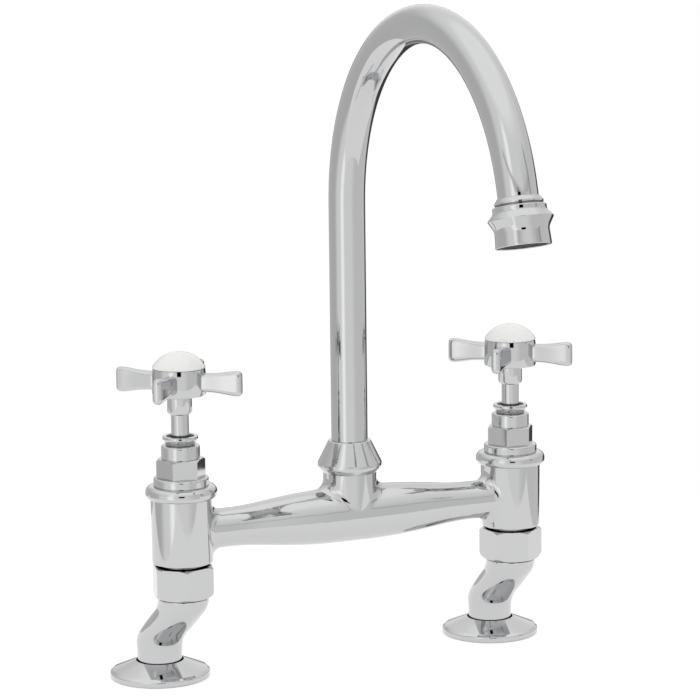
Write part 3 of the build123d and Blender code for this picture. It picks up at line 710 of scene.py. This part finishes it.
# %% Helpers for the room
def world_math(tree, operation, first, second=None):
    """Math node between two values or sockets."""
    node = tree.nodes.new("ShaderNodeMath")
    node.operation = operation
    tree.links.new(first, node.inputs[0])
    if second is not None:
        tree.links.new(second, node.inputs[1])
    return node.outputs[0]


def soft_step(tree, value, low, high):
    """0 at low, 1 at high, smooth between."""
    node = add_node(tree, "ShaderNodeMapRange", From_Min=low, From_Max=high)
    node.interpolation_type = "SMOOTHSTEP"
    tree.links.new(value, node.inputs["Value"])
    return node.outputs["Result"]


def card(tree, direction, azimuth, half_width, low, high, soft):
    """1 inside a soft rectangle of directions; all angles in degrees."""
    turn = tree.nodes.new("ShaderNodeVectorRotate")
    turn.rotation_type = "Z_AXIS"
    turn.inputs["Angle"].default_value = -radians(azimuth)
    tree.links.new(direction, turn.inputs["Vector"])
    parts = tree.nodes.new("ShaderNodeSeparateXYZ")
    tree.links.new(turn.outputs["Vector"], parts.inputs[0])
    bearing = world_math(tree, "ARCTAN2", parts.outputs["Y"], parts.outputs["X"])
    across = world_math(tree, "ABSOLUTE", bearing)
    upward = world_math(tree, "ARCSINE", parts.outputs["Z"])
    edge = radians(soft)
    inside = soft_step(tree, across, radians(half_width) + edge, radians(half_width) - edge)
    over = soft_step(tree, upward, radians(low) - edge, radians(low) + edge)
    under = soft_step(tree, upward, radians(high) + edge, radians(high) - edge)
    return world_math(tree, "MULTIPLY", world_math(tree, "MULTIPLY", inside, over), under)


print("room helpers ready")

# %% List the cards
TOWARDS_CAMERA = -90 - degrees(AZIMUTH)
CARDS = [
    # azimuth from the camera, half width, low, high, softness, brightness
    (0, 200, 52, 100, 10, 1.20),        # bright ceiling
    (95, 60, -60, 30, 14, 0.82),        # pale grey wall on the right
    (-118, 44, -60, 30, 14, 0.66),      # darker wall on the left
    (-31, 9, -60, 45, 8, 1.42),         # tall window left of the camera
    (10, 70, 19.5, 22.5, 2, 0.62),      # thin grey bar above the camera
    (160, 24, -60, 4, 6, 0.06),         # black screen behind the tap, on the right
    (-168, 8, -60, 4, 5, 0.20),         # dark screen behind the tap, on the left
    (4, 9, 0, 22, 2, 0.0),              # the camera and its stand
    (75, 4, 4, 34, 4, 0.45),            # grey pole on the right
]
print("room with", len(CARDS), "cards")

# %% [markdown]
# The world starts white, and each card replaces it inside its own rectangle. Rays from the camera
# itself see plain white, so the cards show only in reflections and in the light on the tap.

# %% Hang the cards
world = bpy.data.worlds.new("studio")
bpy.context.scene.world = world
world.use_nodes = True
room = world.node_tree
room.nodes.clear()
room_out = room.nodes.new("ShaderNodeOutputWorld")
sky = room.nodes.new("ShaderNodeBackground")
sky.inputs["Color"].default_value = (1, 1, 1, 1)
direction = room.nodes.new("ShaderNodeTexCoord").outputs["Generated"]
brightness = room.nodes.new("ShaderNodeValue").outputs[0]
brightness.default_value = 1.0
for azimuth, half_width, low, high, soft, level in CARDS:
    mask = card(room, direction, TOWARDS_CAMERA + azimuth, half_width, low, high, soft)
    mix = room.nodes.new("ShaderNodeMix")
    mix.data_type = "FLOAT"
    room.links.new(mask, mix.inputs[0])
    room.links.new(brightness, mix.inputs[2])
    mix.inputs[3].default_value = level
    brightness = mix.outputs[0]
seen = room.nodes.new("ShaderNodeLightPath")
backdrop = room.nodes.new("ShaderNodeMix")
backdrop.data_type = "FLOAT"
backdrop.inputs[3].default_value = 1.0
room.links.new(seen.outputs["Is Camera Ray"], backdrop.inputs[0])
room.links.new(brightness, backdrop.inputs[2])
room.links.new(backdrop.outputs[0], sky.inputs["Strength"])
room.links.new(sky.outputs["Background"], room_out.inputs["Surface"])
print("cards hung,", len(room.nodes), "nodes")

# %% [markdown]
# ## The floor
# The tap stands on a small sheet of white paper. The room beyond it is as white to the camera, so
# the edge does not show, and the chrome above it mirrors the cards instead of more paper. To the
# camera and in reflections the paper is white, and only the soft shadow under the flanges darkens
# it. To all other light it is plain paper, so it adds no extra light to the tap.

# %% Lay the floor
PAPER_SIDE = 0.72
PAPER_DROP = 0.0002   # keeps it clear of the undersides of the flanges
PAPER_GREY = 0.8
SHADOW_GREY = 0.30    # the part of the seen paper that shadows can darken
PAPER_GLOW = 0.78     # the part that they cannot
begin()
bpy.ops.mesh.primitive_plane_add(size=PAPER_SIDE, location=(0, 0, -PAPER_DROP))
floor = bpy.context.object
bpy.ops.object.transform_apply(location=True, rotation=True, scale=True)
floor.name = "floor"
print("floor laid,", PAPER_SIDE, "m wide")

# %% Make the paper
paper = bpy.data.materials.new("paper")
paper.use_nodes = True
tree = paper.node_tree
tree.nodes.clear()
paper_out = tree.nodes.new("ShaderNodeOutputMaterial")
plain = add_node(tree, "ShaderNodeBsdfDiffuse", Color=(PAPER_GREY, PAPER_GREY, PAPER_GREY, 1))
shaded = add_node(tree, "ShaderNodeBsdfDiffuse", Color=(SHADOW_GREY, SHADOW_GREY, SHADOW_GREY, 1))
glow = add_node(tree, "ShaderNodeEmission", Strength=PAPER_GLOW)
white = tree.nodes.new("ShaderNodeAddShader")
choice = tree.nodes.new("ShaderNodeMixShader")
path = tree.nodes.new("ShaderNodeLightPath")
seen_either = world_math(tree, "ADD", path.outputs["Is Camera Ray"], path.outputs["Is Glossy Ray"])
seen_any = world_math(tree, "ADD", seen_either, path.outputs["Is Transmission Ray"])
tree.links.new(shaded.outputs[0], white.inputs[0])
tree.links.new(glow.outputs[0], white.inputs[1])
tree.links.new(seen_any, choice.inputs[0])
tree.links.new(plain.outputs[0], choice.inputs[1])
tree.links.new(white.outputs[0], choice.inputs[2])
tree.links.new(choice.outputs[0], paper_out.inputs["Surface"])
floor.data.materials.append(paper)
print("paper of", len(tree.nodes), "nodes")
